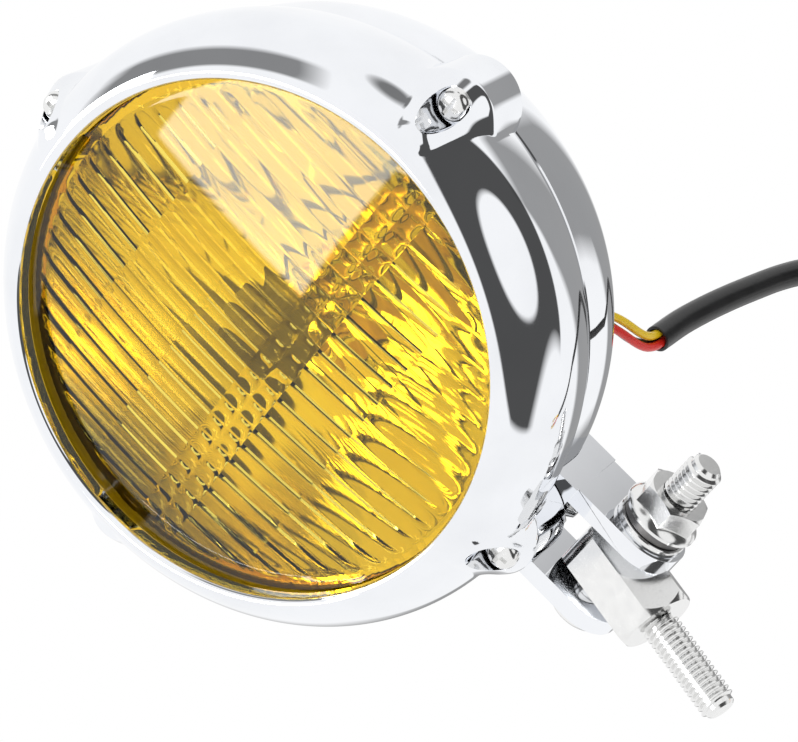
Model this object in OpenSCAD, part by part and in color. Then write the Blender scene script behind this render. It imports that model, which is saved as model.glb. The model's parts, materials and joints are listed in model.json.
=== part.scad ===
// Round fog light on a single bottom stud: a domed lens in a chromed bezel, a bowl-shaped
// bucket behind it, and a clevis that tilts on a threaded mounting stud.
//
// The row frame has its origin on the stud's shoulder, with +Z up the stud. The lamp head is
// drawn in its own frame, with the lens opening's centre at the origin, the lens facing -Y and
// +Z up, and in_row() sets it on the pivot at its resting tilt.

/* [Bezel] */
// Radius of the opening that the lens shows through
opening_r = 54; // [46:0.5:64]
// Width of the rolled lip around the opening
lip_w = 3; // [2:0.5:5]
// How far the bezel swells outwards behind the lip
bezel_swell = 8; // [6:0.5:12]
// Length of the bezel from its front edge to the seam
bezel_len = 30; // [26:0.5:40]
// Distance of the widest ring from the front edge
widest_y = 15; // [12:0.5:18]
// How far the bezel draws in again towards the seam
seam_drop = 3; // [1.5:0.5:5]
// Thickness of the bezel and bucket sheet
wall = 1.2; // [0.8:0.1:2]
// Height of each screw hump above the widest ring
hump_h = 5; // [4:0.5:7]
// Half the width of each screw hump
hump_r = 9.4; // [8.5:0.1:11]
// Number of screw humps around the bezel
hump_count = 4; // [3:1:4]

/* [Bucket] */
// Depth of the rounded bowl behind its straight ring
bowl_d = 37; // [30:0.5:50]
// Length of the straight ring behind the seam
ring_len = 7.4; // [6:0.2:12]
// Length of the rim that slides inside the bezel
rim_len = 6.6; // [5:0.2:9]
// Dark gap that shows at the seam
seam_gap = 0.6; // [0.3:0.1:1.2]

/* [Lens and reflector] */
// How far the lens bulges forwards
lens_dome = 6; // [3:0.5:9]
// Thickness of the lens
lens_t = 2.5; // [2:0.1:4]
// Distance of the lens flange behind the front edge
lens_y = 4.2; // [3.5:0.1:6]
// Width of the lens flange outside the opening
lens_flange = 4; // [3:0.2:5]
// Depth of the reflector from its rim to its apex
mirror_depth = 33.8; // [28:0.2:38]
// Thickness of the lens gasket
gasket_t = 1.5; // [1:0.1:2.5]

/* [Pivot and stud] */
// Distance of the pivot below the bucket
pivot_below = 19.8; // [17:0.2:30]
// Gap between the seam and the bracket
bracket_gap = 0.3; // [0.2:0.1:3]
// Diameter of the pivot bolt
bolt_d = 8; // [6:0.5:10]
// Distance across the stud's flats
stud_af = 16; // [14:0.5:20]
// Height of the pivot above the stud's shoulder
pivot_h = 15.5; // [13:0.5:22]
// Diameter of the stud's thread
thread_d = 8; // [6:0.5:12]
// Length of the stud's thread
thread_len = 22.5; // [18:0.5:40]
// Thickness of each bracket ear
ear_t = 4; // [3:0.5:6]
// Radius of each ear's round end
ear_r = 9; // [8:0.5:12]
// Gap between each ear and the stud
ear_gap = 0.2; // [0.1:0.05:0.4]
// Tilt of the head on the stud, lens downwards
head_tilt = 16; // [-40:1:45]

/* [Lead] */
// Diameter of the lead's outer sleeve
sleeve_d = 6; // [5:0.5:8]
// Diameter of one wire over its insulation
wire_d = 2; // [1.6:0.1:2]

/* [Hidden] */
$fn = 96;
cut = 0.5;              // how far a cutting shape runs past a face
touch_gap = 0.05;       // between two pieces that rest on each other along a curve

// Bezel
lip_r = opening_r + lip_w;
bezel_r = lip_r + bezel_swell;
seam_r = bezel_r - seam_drop;
bezel_step = 1.5;       // spacing of the rings that draw the bezel's curve
hump_mid_r = bezel_r + hump_h - hump_r;
seat_t = 3;             // metal under each bezel screw's head
seat_y = widest_y - 1;  // where each screw's head bears
hump_y = seat_y + seat_t;
nose_y = 2;             // front end of each hump's nose
nose_r = 3.5;
nose_drop = 3.6;        // how far the nose runs in towards the axis
screw_d = 4;
screw_head_r = 3.4;
screw_head_h = 2.6;
screw_play = 0.1;
screw_past = 2;         // how far a screw's tip stands out of its lug
slot_w = 1;
slot_depth = 1.2;
screw_r = bezel_r;
trough_r = screw_head_r + 0.3;
trough_y = -5;          // front end of each screw's bore, clear of the nose
boss_y = 1;             // front end of the metal around each bore

// Bucket
rim_play = 0.3;
rim_r = seam_r - wall - rim_play;
bowl_r = seam_r - rim_play;
rim_y = bezel_len - rim_len;
shoulder_y = bezel_len + seam_gap;
bowl_y = shoulder_y + ring_len;
arc_step = 5;

// Lugs that the bezel screws pull on
lug_w = 6;
lug_t = 2;
lug_y = rim_y + 0.6;
lug_foot = 2;           // how far a lug's block is drawn inside the rim before it is cut
lug_web = 3.2;
lug_top_r = screw_r + screw_d / 2 + 1;

// Lens, gasket, reflector and its clips
lens_r = opening_r - 2;
flange_r = opening_r + lens_flange;
gasket_y = lens_y + lens_t;
mirror_y = gasket_y + gasket_t;
mirror_t = 0.8;
mirror_r = lens_r;
apex_y = mirror_y + mirror_depth;
focal_len = mirror_r * mirror_r / (4 * mirror_depth);
neck_r = 8.5;
clip_w = 8;
clip_t = 0.7;
clip_y = mirror_y + mirror_t;
clip_out_r = bezel_in(clip_y + 5) - 0.3;

// Bulb, placed from the reflector's focus and neck
focus_y = apex_y - focal_len;
bulb_r = 8;
bulb_t = 0.8;
bulb_front = focus_y + 2 - bulb_r;
filament_x = 2.7;       // of each support, from the middle
filament_r = 0.7;
support_r = 0.4;
base_r = 7.5;
base_y = apex_y - 8;
base_len = 16;
holder_r = neck_r - 0.1;
holder_flange_r = 12;
holder_t = 1.6;
holder_y = mirror_at(neck_r) + mirror_t + 0.2;
connector_y = base_y + base_len + 0.2;
connector_len = 9.8;
connector_r = 8.2;
collar_t = 1.6;

// Cable grommet on the bowl, where the sheet's normal leans from the axis
grommet_arc = 45;
grommet_turn = -62;
grommet_r = bowl_r * cos(grommet_arc);
grommet_y = bowl_y + bowl_d * sin(grommet_arc);
grommet_lean = atan2(cos(grommet_arc) / bowl_r, sin(grommet_arc) / bowl_d);
grommet_bore_r = 1.2 * wire_d;
grommet_hole_r = grommet_bore_r + 2.1;
inner_sleeve_r = 2.6;
grommet_depth = 3.4;    // how far the grommet reaches inside the sheet
grommet_lip = 1.3;      // width of its flange inside
grommet_brim = 2;       // width of its flange outside

// Bracket and pivot
gap_half = stud_af / 2 + ear_gap;
ear_out = gap_half + ear_t;
base_t = 4.5;
base_bottom = bowl_r + base_t;
base_half_y = ear_r + 0.7;
pivot_drop = bowl_r + pivot_below;
pivot_y = bezel_len + bracket_gap + base_half_y;
bolt_r = bolt_d / 2;
bolt_play = 0.05;       // radial play of the bolt in the stud
ear_play = 0.1;         // radial play of the bolt in the ears
backing_half_x = gap_half - 0.2;
backing_front = shoulder_y + wall + 0.2;
backing_len = 16;
backing_top = bowl_r - wall - 4.2;
rivet_r = 2;
rivet_play = 0.05;
rivet_head_r = 3.4;
rivet_head_h = 2;
rivet_pitch = 10;
bolt_head_r = 8.5;
bolt_head_h = 4.5;
washer_r = 8;
washer_t = 1.6;
lock_r = 7.2;
lock_t = 2.4;
nut_af = 13;
nut_h = 6.5;
nut_flange_r = 8.4;
nut_flange_t = 1.4;
nut_x = ear_out + washer_t + lock_t;
bolt_past_nut = 10;
chamfer = 1;

// Resting route of the lead in the row frame: the sleeve's middle line, and the three wires
// before and after it. The lead leaves the bucket, runs back and hangs.
sleeve_route = [[20.5, 37, 56.5], [22.4, 44, 58], [24.7, 52, 59], [27, 60, 59.6], [29, 68, 60],
                [31, 76, 60.2], [33, 84, 59.6], [35, 92, 57.4], [37, 100, 53], [39, 107, 46.2],
                [40.5, 112, 37.6], [41.5, 115.5, 28], [42, 117.5, 17], [42, 118.5, 5],
                [42, 119, -8], [42, 119, -24], [42, 119, -42], [42, 119, -60], [42, 119, -78],
                [42, 119, -96]];
tail_end = [42, 119, -132];
tail_spread = 5;
wire_fan = 1.15;        // distance of each wire from the bundle's middle
wire_sides = 8;
wire_play = 0.04;       // that keeps neighbouring wires apart
end_gap = 0.05;         // between the sleeve's ends and the wires
near_steps = 10;
near_bulge = 0.35;      // how much the bundle loosens between grommet and sleeve
inner_steps = 18;
terminal_r = 2;
terminal_len = 14;

// Outside radius of the bezel at a distance y behind its front edge
function bezel_out(y) = y < widest_y
    ? bezel_r - bezel_swell * pow(1 - y / widest_y, 2)
    : bezel_r - seam_drop * pow((y - widest_y) / (bezel_len - widest_y), 2);
function bezel_in(y) = bezel_out(y) - wall;
// Distance of the reflector's mirror face behind the front edge, at radius r
function mirror_at(r) = apex_y - r * r / (4 * focal_len);
function lens_at(r) = lens_y - lens_dome * (1 - pow(r / lens_r, 2));
// Point of an ellipse around the bowl's start, sheet thickness t in from the outside
function bowl_at(a, t) = [(bowl_r - t) * cos(a), bowl_y + (bowl_d - t) * sin(a)];

function unit(v) = v / norm(v);
// Points of a smooth bend from p0 to p3, which leaves towards p1 and arrives from p2
function bend(p0, p1, p2, p3, steps) = [for (i = [0:steps]) let (t = i / steps, s = 1 - t)
    s * s * s * p0 + 3 * s * s * t * p1 + 3 * s * t * t * p2 + t * t * t * p3];
// Direction of a route at its point i
function along(p, i) = unit(p[min(i + 1, len(p) - 1)] - p[max(i - 1, 0)]);
// One ring of a tube around the route's point i, square to the route
function ring(p, i, r, n) =
    let (d = along(p, i), u = unit(cross(d, [0.1, 0.25, 1])), v = cross(d, u))
    [for (k = [0:n - 1]) p[i] + r * (u * cos(360 * k / n) + v * sin(360 * k / n))];

// Solid tube of radius r and n sides along the points p
module tube(p, r, n) {
    rings = [for (i = [0:len(p) - 1]) each ring(p, i, r, n)];
    last = n * (len(p) - 1);
    polyhedron(rings, concat(
        [[for (k = [0:n - 1]) k]],
        [for (i = [0:len(p) - 2], k = [0:n - 1])
            [i * n + k, (i + 1) * n + k, (i + 1) * n + (k + 1) % n, i * n + (k + 1) % n]],
        [[for (k = [n - 1:-1:0]) last + k]]));
}

// Sets the head on the pivot, in the row frame
module in_row() {
    translate([0, 0, pivot_h]) rotate([head_tilt, 0, 0]) translate([0, -pivot_y, pivot_drop])
        children();
}

// The same move for a single point
function head_point(p) = let (y = p[1] - pivot_y, z = p[2] + pivot_drop)
    [p[0], y * cos(head_tilt) - z * sin(head_tilt), y * sin(head_tilt) + z * cos(head_tilt) + pivot_h];

// Spins an outline of [radius, distance behind the front edge] around the head's axis
module turned() { rotate([-90, 0, 0]) rotate_extrude() children(); }
module turned_points(points) { turned() polygon(points); }

// A rod along +Y from y0 to y1, at radius r from the head's axis
module rod_y(r, y0, y1, radius) {
    translate([r, y0, 0]) rotate([-90, 0, 0]) cylinder(h = y1 - y0, r = radius);
}

// A rod along +X from x0 to x1 on the pivot, in the head's frame
module rod_x(x0, x1, r1, r2) {
    translate([x0, pivot_y, -pivot_drop]) rotate([0, 90, 0]) cylinder(h = x1 - x0, r1 = r1, r2 = r2);
}

// Puts its child at each screw hump, the child being drawn on the +X side
module at_humps(offset = 0) {
    for (k = [0:hump_count - 1]) rotate([0, k * 360 / hump_count + 90 + offset, 0]) children();
}

// Stands its child on the bowl where the cable leaves, +Z along the sheet's normal
module at_grommet() {
    rotate([0, -grommet_turn, 0]) translate([grommet_r, grommet_y, 0])
        rotate([0, 0, -grommet_lean]) rotate([-90, 0, 0]) children();
}

module bezel_shell(t) {
    turned_points(concat([[0, 0]],
        [for (y = [0:bezel_step:bezel_len]) [bezel_out(y) - t, y]], [[0, bezel_len]]));
}

module hump() {
    length = norm([nose_drop, hump_y - nose_y]);
    rod_y(hump_mid_r, hump_y, bezel_len, hump_r);
    translate([hump_mid_r, hump_y, 0]) {
        sphere(r = hump_r);
        rotate([0, 0, -atan2(nose_drop, hump_y - nose_y)]) rotate([90, 0, 0])
            cylinder(h = length, r1 = hump_r, r2 = nose_r);
    }
}

// The lip's rolled bead and its return, which the lens flange seats on
module lip() {
    bead = lip_w / 2;
    turned() {
        translate([opening_r + bead, bead * 0.7]) circle(r = bead);
        translate([opening_r, bead]) square([wall, lens_y - bead]);
        polygon([[opening_r + bead, -bead * 0.3], [lip_r, 0], [bezel_out(2), 2],
                 [bezel_in(3), 3], [opening_r + bead, bead]]);
    }
}

module bezel() {
    color("silver") in_row() {
        difference() {
            union() {
                bezel_shell(0);
                at_humps() hump();
            }
            difference() {
                union() {
                    bezel_shell(wall);
                    turned() translate([0, -cut * 3]) square([opening_r, bezel_len]);
                    turned() translate([0, bezel_len - cut / 5]) square([seam_r - wall, cut]);
                }
                at_humps() rod_y(screw_r, boss_y, hump_y, trough_r + wall);
            }
            at_humps() {
                rod_y(hump_mid_r, hump_y, bezel_len + cut, hump_r - wall);
                rod_y(screw_r, trough_y, seat_y, trough_r);
                rod_y(screw_r, seat_y - cut, hump_y + cut, screw_d / 2 + 0.2);
            }
            turned() square([opening_r + wall, lens_y]);
        }
        lip();
    }
}

module bezel_screws() {
    color("gainsboro") in_row() at_humps() difference() {
        union() {
            translate([screw_r, seat_y, 0]) rotate([90, 0, 0]) {
                cylinder(h = screw_head_h * 0.6, r = screw_head_r);
                translate([0, 0, screw_head_h * 0.6])
                    cylinder(h = screw_head_h * 0.4, r1 = screw_head_r, r2 = screw_head_r - 1);
            }
            rod_y(screw_r, seat_y, lug_y + lug_t + screw_past, screw_d / 2 - screw_play);
        }
        translate([screw_r - 2 * screw_head_r, seat_y - screw_head_h - cut, -slot_w / 2])
            cube([4 * screw_head_r, slot_depth + cut, slot_w]);
    }
}

module bezel_lugs() {
    color("darkgray") in_row() at_humps() difference() {
        union() {
            translate([rim_r - lug_foot, lug_y, -lug_w / 2])
                cube([lug_web, bezel_len - lug_y - 0.4, lug_w]);
            translate([rim_r - lug_foot, lug_y, -lug_w / 2])
                cube([lug_top_r - rim_r + lug_foot, lug_t, lug_w]);
        }
        rotate([0, 180, 0]) turned() translate([0, lug_y - cut])
            square([rim_r + touch_gap, bezel_len]);
        rod_y(screw_r, lug_y - cut, lug_y + lug_t + cut, screw_d / 2);
    }
}

module lens() {
    steps = 16;
    color("orange", 0.7) in_row() turned_points(concat(
        [for (i = [0:steps]) [lens_r * i / steps, lens_at(lens_r * i / steps)]],
        [[flange_r, lens_y], [flange_r, gasket_y]],
        [for (i = [steps:-1:0]) [lens_r * i / steps, lens_at(lens_r * i / steps) + lens_t]]));
}

module lens_gasket() {
    color("black") in_row() turned() translate([opening_r + 1.5, gasket_y])
        square([flange_r - opening_r - 1.2, gasket_t]);
}

module reflector() {
    steps = 14;
    radii = [for (i = [0:steps]) neck_r + (mirror_r - neck_r) * i / steps];
    color("whitesmoke") in_row() turned_points(concat(
        [for (r = radii) [r, mirror_at(r)]],
        [[flange_r + 0.3, mirror_y], [flange_r + 0.3, mirror_y + mirror_t]],
        [for (i = [steps:-1:0]) [radii[i], mirror_at(radii[i]) + mirror_t]]));
}

module retaining_clips() {
    foot_r = flange_r - 0.2;
    color("gray") in_row() at_humps(offset = 180 / hump_count)
        translate([0, 0, -clip_w / 2]) linear_extrude(clip_w) polygon([
            [foot_r - 2.6, clip_y], [foot_r + 0.3, clip_y], [clip_out_r, clip_y + 4.6],
            [clip_out_r, clip_y + 7], [clip_out_r - clip_t, clip_y + 7],
            [clip_out_r - clip_t, clip_y + 4.9], [foot_r - 0.1, clip_y + clip_t],
            [foot_r - 2.6, clip_y + clip_t]]);
}

module bulb_outline(t) {
    polygon(concat([[0, base_y], [base_r - 1 - t, base_y]],
        [for (a = [-30:10:90]) [(bulb_r - t) * cos(a), focus_y + 2 - (bulb_r - t) * sin(a)]]));
}

module bulb_glass() {
    color("white", 0.4) in_row() difference() {
        turned() bulb_outline(0);
        difference() {
            turned() bulb_outline(bulb_t);
            turned() translate([0, base_y - 1.5]) square([base_r, 3]);
        }
    }
}

module bulb_filament() {
    color("dimgray") in_row() {
        for (x = [-filament_x, filament_x]) translate([x, focus_y - 0.3, 0])
            rotate([-90, 0, 0]) cylinder(h = base_y - 1.2 - focus_y, r = support_r, $fn = 24);
        translate([-filament_x - filament_r, focus_y, 0]) rotate([0, 90, 0])
            cylinder(h = 2 * (filament_x + filament_r), r = filament_r, $fn = 24);
    }
}

module bulb_base() {
    color("goldenrod") in_row() {
        rod_y(0, base_y, base_y + base_len, base_r);
        for (s = [-1, 1]) translate([s * (base_r - 2), base_y + base_len - 2, 0])
            rotate([-90, 0, 0]) cylinder(h = 2, r = 1);
    }
}

module bulb_shield() {
    // the cap stands halfway between the lens and the bulb, give or take its own height
    cap_y = (lens_at(0) + lens_t + bulb_front) / 2 + 2.15;
    leg_r = neck_r + 1.5;
    color("dimgray") in_row() {
        turned_points([[0, cap_y - 2], [5, cap_y - 1.2], [leg_r + 0.6, cap_y + 1],
                       [leg_r + 0.6, cap_y + 1.8], [5, cap_y - 0.4], [0, cap_y - 1.2]]);
        for (k = [0:2]) rotate([0, k * 120 + 30, 0])
            rod_y(leg_r, cap_y + 1.2, mirror_at(leg_r) - 0.1, 0.6, $fn = 24);
    }
}

module bulb_holder() {
    bore_r = base_r + 0.15;
    back_y = base_y + base_len - 1;
    color("lightgray") in_row() turned_points([
        [bore_r, holder_y - 2.6], [holder_r, holder_y - 2.6], [holder_r, holder_y],
        [holder_flange_r, holder_y], [holder_flange_r, holder_y + holder_t],
        [holder_r, holder_y + holder_t], [holder_r, back_y], [bore_r, back_y]]);
}

// Wire bail behind the holder's flange that keeps the bulb seated
module bulb_spring() {
    wire_r = 0.6;
    ring_r = holder_r + 2 * wire_r;
    spring_y = holder_y + holder_t + wire_r + touch_gap;
    color("silver") in_row() difference() {
        turned() translate([ring_r, spring_y]) circle(r = wire_r, $fn = 24);
        translate([0, spring_y, -ring_r - 2]) cube([5, 4, 6], center = true);
    }
}

module bulb_connector() {
    color("black") in_row() {
        rod_y(0, connector_y, connector_y + connector_len, connector_r);
        rod_y(0, connector_y + connector_len, connector_y + connector_len + collar_t,
              inner_sleeve_r + 2);
    }
}

module inner_sleeve() {
    start_y = connector_y + connector_len + collar_t;
    inside = grommet_end(-grommet_depth - 0.2);
    outward = grommet_end(1) - grommet_end(0);
    straight = 1;           // short straight piece at each end, so the ends are square
    route = concat([[0, start_y, 0]],
        bend([0, start_y + straight, 0], [0, start_y + 12, 0], inside - 16 * outward,
             inside - straight * outward, inner_steps),
        [inside]);
    color("beige") tube([for (p = route) head_point(p)], inner_sleeve_r, 10);
}

// A point on the grommet's axis, in the head's frame, at distance h outside the sheet
function grommet_end(h) = let (r = grommet_r + h * sin(grommet_lean))
    [r * cos(grommet_turn), grommet_y + h * cos(grommet_lean), r * sin(grommet_turn)];

module bucket() {
    color("silver") in_row() difference() {
        turned_points(concat(
            [[rim_r, rim_y], [rim_r, shoulder_y], [bowl_r, shoulder_y]],
            [for (a = [0:arc_step:90]) bowl_at(a, 0)],
            [for (a = [90:-arc_step:0]) bowl_at(a, wall)],
            [[bowl_r - wall, shoulder_y + wall], [rim_r - wall, shoulder_y + wall],
             [rim_r - wall, rim_y]]));
        at_grommet() translate([0, 0, -4]) cylinder(h = 6, r = grommet_hole_r);
        at_rivets() translate([0, 0, -bowl_r - cut]) cylinder(h = 12, r = rivet_r + rivet_play);
    }
}

module cable_grommet() {
    color("black") in_row() at_grommet() difference() {
        union() {
            translate([0, 0, -2.8]) cylinder(h = 3.4, r = grommet_hole_r - 0.1);
            translate([0, 0, -grommet_depth]) cylinder(h = 1.5, r = grommet_hole_r + grommet_lip);
            translate([0, 0, 0.1]) cylinder(h = 1.4, r = grommet_hole_r + grommet_brim);
            translate([0, 0, 1.5])
                cylinder(h = 2.5, r1 = grommet_hole_r + 1.2, r2 = grommet_bore_r + 1);
        }
        translate([0, 0, -grommet_depth - cut])
            cylinder(h = grommet_depth + 5, r = grommet_bore_r);
    }
}

// Places of the three wires around the bundle's middle at the route's point p, turned by 120
function fan(p, d, k, r) =
    let (u = unit(cross(d, [0.1, 0.25, 1])), v = cross(d, u), a = 120 * k + 90)
    p + r * (u * cos(a) + v * sin(a));

// Middle line of the bundle from inside the grommet to the sleeve's mouth
function near_line() =
    let (first = head_point(grommet_end(0.1 - grommet_depth)), mouth = head_point(grommet_end(4.2)),
         out = unit(mouth - first), into = along(sleeve_route, 0),
         last = sleeve_route[0] - end_gap * into, reach = 0.42 * norm(last - mouth))
    concat([first], bend(mouth, mouth + reach * out, last - into - reach * into, last - into,
                         near_steps), [last]);

module wire(k) {
    near = near_line();
    last = len(near) - 1;
    end = sleeve_route[len(sleeve_route) - 1];
    down = along(sleeve_route, len(sleeve_route) - 1);
    far = [fan(end + down * end_gap, down, k, wire_fan), fan(end + down * 8, down, k, wire_fan * 1.4),
           fan((end + tail_end) / 2, down, k, tail_spread * 0.6),
           fan(tail_end - down * 8, down, k, tail_spread * 0.95), fan(tail_end, down, k, tail_spread)];
    tube([for (i = [0:last]) fan(near[i], along(near, i), k,
                                 wire_fan * (1 + near_bulge * sin(180 * i / last)))],
         wire_d / 2 - wire_play, wire_sides);
    tube(far, wire_d / 2 - wire_play, wire_sides);
}

module wire_red() { color("red") wire(0); }
module wire_yellow() { color("gold") wire(2); }
module wire_black() { color("black") wire(1); }

module cable_sleeve() { color("black") tube(sleeve_route, sleeve_d / 2, 10); }

// Bullet terminals crimped on the wires' ends
module wire_terminals() {
    down = along(sleeve_route, len(sleeve_route) - 1);
    color("goldenrod") for (k = [0:2]) translate(fan(tail_end, down, k, tail_spread))
        rotate([180, 0, 0]) {
            cylinder(h = terminal_len * 0.55, r = terminal_r * 0.8);
            translate([0, 0, terminal_len * 0.55]) cylinder(h = terminal_len * 0.3, r = terminal_r);
            translate([0, 0, terminal_len * 0.85])
                cylinder(h = terminal_len * 0.15, r1 = terminal_r, r2 = terminal_r * 0.4);
        }
}

// The two rivets' places, in line behind each other under the bucket
module at_rivets() {
    for (s = [-1, 1]) translate([0, backing_front + backing_len / 2 + s * rivet_pitch / 2, 0])
        children();
}

module bowl_solid(t) {
    turned_points(concat([[0, shoulder_y], [bowl_r - t, shoulder_y]],
        [for (a = [0:arc_step:90]) bowl_at(a, t)]));
}

module bracket() {
    ear_top = base_bottom - cut;
    cut_len = 20;           // of the room cleared in front of the bowl
    color("silver") in_row() difference() {
        union() {
            translate([-ear_out, pivot_y - base_half_y, -base_bottom])
                cube([2 * ear_out, 2 * base_half_y, base_t + 3]);
            for (s = [-1, 1]) {
                x = s > 0 ? gap_half : -ear_out;
                translate([x, pivot_y - ear_r, -pivot_drop])
                    cube([ear_t, 2 * ear_r, pivot_drop - ear_top]);
                rod_x(x, x + ear_t, ear_r, ear_r);
            }
        }
        turned() translate([0, pivot_y - cut_len])
            square([bowl_r + touch_gap, cut_len + bowl_y - pivot_y]);
        bowl_solid(-touch_gap);
        rod_x(-ear_out - cut, ear_out + cut, bolt_r + ear_play, bolt_r + ear_play);
        at_rivets() translate([0, 0, -base_bottom - cut])
            cylinder(h = 12, r = rivet_r + rivet_play);
    }
}

module bracket_backing() {
    color("gray") in_row() difference() {
        intersection() {
            translate([-backing_half_x, backing_front, -bowl_r])
                cube([2 * backing_half_x, backing_len, bowl_r - backing_top]);
            bowl_solid(wall + touch_gap);
        }
        at_rivets() translate([0, 0, -bowl_r - cut])
            cylinder(h = bowl_r - backing_top + 2 * cut, r = rivet_r + rivet_play);
    }
}

module bracket_rivets() {
    color("lightgray") in_row() at_rivets() {
        translate([0, 0, -base_bottom]) cylinder(h = base_bottom - backing_top, r = rivet_r);
        translate([0, 0, -backing_top]) cylinder(h = rivet_head_h, r1 = rivet_head_r, r2 = rivet_r);
        translate([0, 0, -base_bottom - rivet_head_h])
            cylinder(h = rivet_head_h, r1 = rivet_r, r2 = rivet_head_r);
    }
}

module pivot_bolt() {
    dome = (bolt_head_r * bolt_head_r + bolt_head_h * bolt_head_h) / (2 * bolt_head_h);
    end_x = nut_x + nut_h + bolt_past_nut;
    color("gainsboro") in_row() {
        intersection() {
            translate([-ear_out - bolt_head_h + dome, pivot_y, -pivot_drop]) sphere(r = dome);
            rod_x(-ear_out - bolt_head_h, -ear_out, bolt_head_r + 1, bolt_head_r + 1);
        }
        rod_x(-ear_out - 0.2, end_x - chamfer, bolt_r, bolt_r);
        rod_x(end_x - chamfer, end_x, bolt_r, bolt_r - chamfer);
    }
}

module plain_ring(x, length, r) {
    difference() {
        rod_x(x, x + length, r, r);
        rod_x(x - cut, x + length + cut, bolt_r + ear_play, bolt_r + ear_play);
    }
}

module pivot_washer() { color("gainsboro") in_row() plain_ring(ear_out, washer_t, washer_r); }

// Split spring washer
module lock_washer() {
    x = ear_out + washer_t;
    color("dimgray") in_row() difference() {
        plain_ring(x, lock_t, lock_r);
        translate([x + lock_t / 2, pivot_y, -pivot_drop - lock_r]) rotate([20, 0, 0])
            cube([lock_t + 2 * cut, 1, 2 * lock_r - 1], center = true);
    }
}

module pivot_nut() {
    color("gainsboro") in_row() difference() {
        union() {
            rod_x(nut_x, nut_x + nut_flange_t, nut_flange_r, nut_flange_r);
            intersection() {
                translate([nut_x, pivot_y, -pivot_drop]) rotate([0, 90, 0])
                    cylinder(h = nut_h, r = nut_af / sqrt(3), $fn = 6);
                rod_x(nut_x, nut_x + nut_h, nut_af / sqrt(3) + 2, nut_af / 2 + 0.3);
            }
        }
        rod_x(nut_x - cut, nut_x + nut_h + cut, bolt_r + bolt_play, bolt_r + bolt_play);
    }
}

module mount_stud() {
    corner_r = stud_af / sqrt(3);
    color("gainsboro") difference() {
        union() {
            intersection() {
                rotate([0, 0, 30]) cylinder(h = pivot_h + corner_r, r = corner_r, $fn = 6);
                cylinder(h = pivot_h + corner_r, r1 = corner_r - chamfer * 1.4, r2 = 3 * corner_r);
                union() {
                    translate([-stud_af, -stud_af, 0]) cube([2 * stud_af, 2 * stud_af, pivot_h]);
                    translate([-stud_af, 0, pivot_h]) rotate([0, 90, 0])
                        cylinder(h = 2 * stud_af, r = corner_r);
                }
            }
            translate([0, 0, chamfer - thread_len])
                cylinder(h = thread_len - chamfer + 1, r = thread_d / 2);
            translate([0, 0, -thread_len])
                cylinder(h = chamfer, r1 = thread_d / 2 - chamfer, r2 = thread_d / 2);
        }
        translate([-stud_af, 0, pivot_h]) rotate([0, 90, 0])
            cylinder(h = 2 * stud_af, r = bolt_r + bolt_play);
    }
}

bezel();
bezel_screws();
bezel_lugs();
lens();
lens_gasket();
reflector();
retaining_clips();
bulb_glass();
bulb_filament();
bulb_base();
bulb_shield();
bulb_holder();
bulb_spring();
bulb_connector();
inner_sleeve();
bucket();
cable_grommet();
wire_red();
wire_yellow();
wire_black();
cable_sleeve();
wire_terminals();
bracket();
bracket_backing();
bracket_rivets();
pivot_bolt();
pivot_washer();
lock_washer();
pivot_nut();
mount_stud();
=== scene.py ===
# %% [markdown]
# # A chromed fog light
# The lamp is an amber glass lens in a chromed bezel, with a bowl behind it, and it tilts on a
# threaded stud. Its bodies, its joint and its inner parts come from the CAD model. The sizes named
# below are that model's own, and what follows makes the surfaces that a buyer would see.

# %% The frame from CAD
import bmesh
import bpy
import json
from math import asin, atan2, ceil, cos, exp, pi, radians, sin, sqrt
from mathutils import Matrix, Vector


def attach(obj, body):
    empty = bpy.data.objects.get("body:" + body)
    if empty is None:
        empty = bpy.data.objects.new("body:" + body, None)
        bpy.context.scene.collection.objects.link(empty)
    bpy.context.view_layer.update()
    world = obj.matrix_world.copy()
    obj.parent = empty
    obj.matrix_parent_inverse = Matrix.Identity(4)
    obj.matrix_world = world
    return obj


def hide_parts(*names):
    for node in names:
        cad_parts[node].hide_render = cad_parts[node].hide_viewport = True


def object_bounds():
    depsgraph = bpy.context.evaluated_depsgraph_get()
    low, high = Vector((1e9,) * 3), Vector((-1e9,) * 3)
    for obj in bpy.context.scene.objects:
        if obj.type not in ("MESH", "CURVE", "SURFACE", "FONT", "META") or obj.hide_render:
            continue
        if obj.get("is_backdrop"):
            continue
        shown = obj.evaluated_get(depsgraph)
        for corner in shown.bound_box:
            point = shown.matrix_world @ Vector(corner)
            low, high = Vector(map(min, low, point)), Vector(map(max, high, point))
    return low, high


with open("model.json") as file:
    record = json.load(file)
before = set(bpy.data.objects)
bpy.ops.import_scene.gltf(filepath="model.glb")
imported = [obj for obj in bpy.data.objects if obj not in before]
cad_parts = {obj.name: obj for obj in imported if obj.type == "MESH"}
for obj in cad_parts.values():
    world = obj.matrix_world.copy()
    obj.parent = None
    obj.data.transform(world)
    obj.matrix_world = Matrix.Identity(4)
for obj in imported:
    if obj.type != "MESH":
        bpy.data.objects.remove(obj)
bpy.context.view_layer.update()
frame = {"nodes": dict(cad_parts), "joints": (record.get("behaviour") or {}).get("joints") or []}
nodes = frame["nodes"]
MM = 0.001

# %% [markdown]
# ## The head's own frame
# The lamp head is easiest to think of by itself: the lens opening's centre is the origin, the
# lens faces -Y, and sizes are in millimetres. One matrix then tilts it on the pivot and makes
# metres of it, so each piece below is written upright and lands in its place.

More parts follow.
